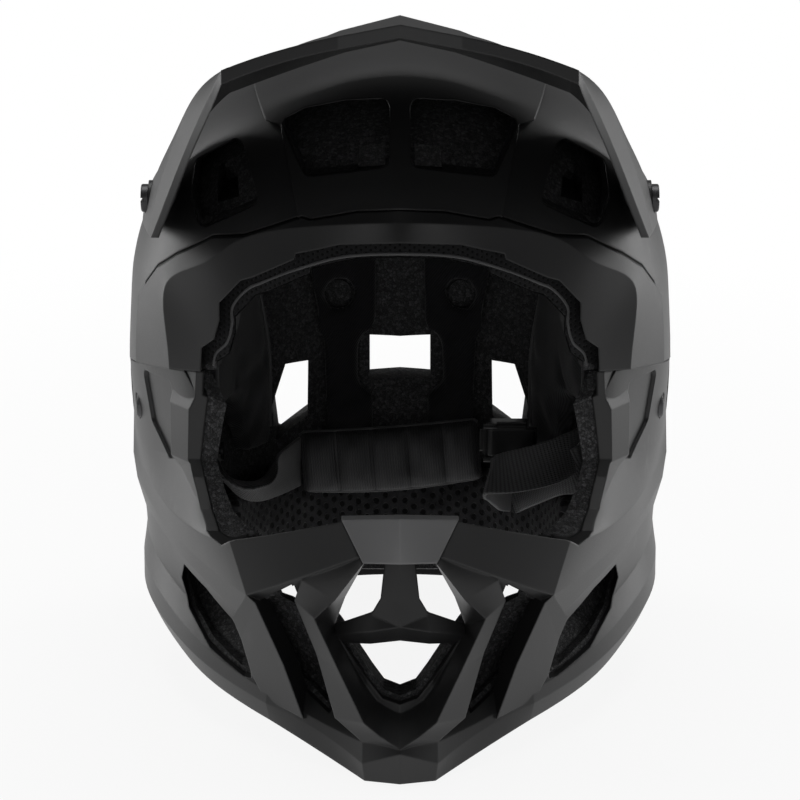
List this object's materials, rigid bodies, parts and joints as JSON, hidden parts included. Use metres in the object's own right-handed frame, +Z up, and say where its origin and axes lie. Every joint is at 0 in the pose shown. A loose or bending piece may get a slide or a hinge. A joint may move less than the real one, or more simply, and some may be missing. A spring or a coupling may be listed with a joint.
{
  "type": "full face bicycle helmet",
  "caption": "Full face downhill bicycle helmet: vented shell with foam liner and pads, tilting visor, pull-off chin guard with release buttons, chin strap with ladder buckle.",
  "frame": {"origin": "centre of the bounding box on the ground, with the helmet standing on its chin guard and the back of its rim", "axes": "+Z up, -Y the wearer's forward, +X to the right as one looks at the face of the helmet"},
  "size_m": [0.2229, 0.3351, 0.2781],
  "materials": {
    "shell_plastic": "matt black, fine grain",
    "trim_plastic": "matt black",
    "plate_plastic": "satin dark grey",
    "foam": "expanded foam, speckled beads",
    "rubber_trim": "matt",
    "latch_plastic": "moulded, satin",
    "button_plastic": "satin grey",
    "screw_metal": "black anodised",
    "pad_fabric": "woven cover over soft foam",
    "mesh_fabric": "honeycomb mesh",
    "webbing": "ribbed polyester webbing",
    "buckle_plastic": "moulded, semi gloss"
  },
  "bodies": {
    "shell": {"outer_shell": "shell_plastic", "brow_frame": "trim_plastic", "foam_liner": "foam", "rim_trim": "rubber_trim", "latch_receiver_left": "latch_plastic", "latch_receiver_right": "latch_plastic", "visor_boss_left": "trim_plastic", "visor_boss_right": "trim_plastic", "brow_pad": "pad_fabric", "side_pad_left": "pad_fabric", "side_pad_right": "pad_fabric", "rear_pad_left": "pad_fabric", "rear_pad_right": "pad_fabric", "neck_pad": "mesh_fabric", "pad_snaps": "latch_plastic", "strap_anchor_left": "latch_plastic", "strap_anchor_right": "latch_plastic", "strap_rivet_left": "screw_metal", "strap_rivet_right": "screw_metal", "chin_strap_left": "webbing", "chin_webbing_right": "webbing", "strap_cover": "pad_fabric", "buckle_body": "buckle_plastic", "buckle_ladder": "buckle_plastic", "buckle_pin": "screw_metal"},
    "visor": {"visor": "shell_plastic"},
    "chin_guard": {"chin_guard": "shell_plastic", "mouthpiece": "plate_plastic", "star_grille": "trim_plastic", "chin_foam": "foam", "latch_tongue_left": "latch_plastic", "latch_tongue_right": "latch_plastic"},
    "button_left": {"release_button_left": "button_plastic"},
    "button_right": {"release_button_right": "button_plastic"},
    "visor_screw_left": {"visor_screw_left": "screw_metal"},
    "visor_screw_right": {"visor_screw_right": "screw_metal"},
    "buckle_lever": {"buckle_lever": "buckle_plastic"}
  },
  "joints": [
    {"name": "visor_tilt", "type": "hinge", "parent": "shell", "child": "visor", "pos_m": [0, -0.0135, 0.197], "axis": [1, 0, 0], "range_deg": [-15, 4]},
    {"name": "chin_guard_pull", "type": "slide", "parent": "shell", "child": "chin_guard", "axis": [0, -1, 0], "range_m": [0, 0.06]},
    {"name": "button_left_press", "type": "slide", "parent": "chin_guard", "child": "button_left", "axis": [1, 0, 0], "range_m": [0, 0.0025], "stiffness_N_per_m": 800, "springref_m": -0.001},
    {"name": "button_right_press", "type": "slide", "parent": "chin_guard", "child": "button_right", "axis": [-1, 0, 0], "range_m": [0, 0.0025], "stiffness_N_per_m": 800, "springref_m": -0.001},
    {"name": "visor_screw_left_turn", "type": "hinge", "parent": "shell", "child": "visor_screw_left", "pos_m": [-0.0985, -0.0135, 0.197], "axis": [-1, 0, 0], "continuous": true},
    {"name": "visor_screw_right_turn", "type": "hinge", "parent": "shell", "child": "visor_screw_right", "pos_m": [0.0985, -0.0135, 0.197], "axis": [1, 0, 0], "continuous": true},
    {"name": "buckle_lever_lift", "type": "hinge", "parent": "shell", "child": "buckle_lever", "pos_m": [0.039, 0.0836, 0.0765], "axis": [0, 0, -1], "range_deg": [0, 30], "stiffness_Nm_per_rad": 0.02, "springref_deg": -5.73}
  ]
}
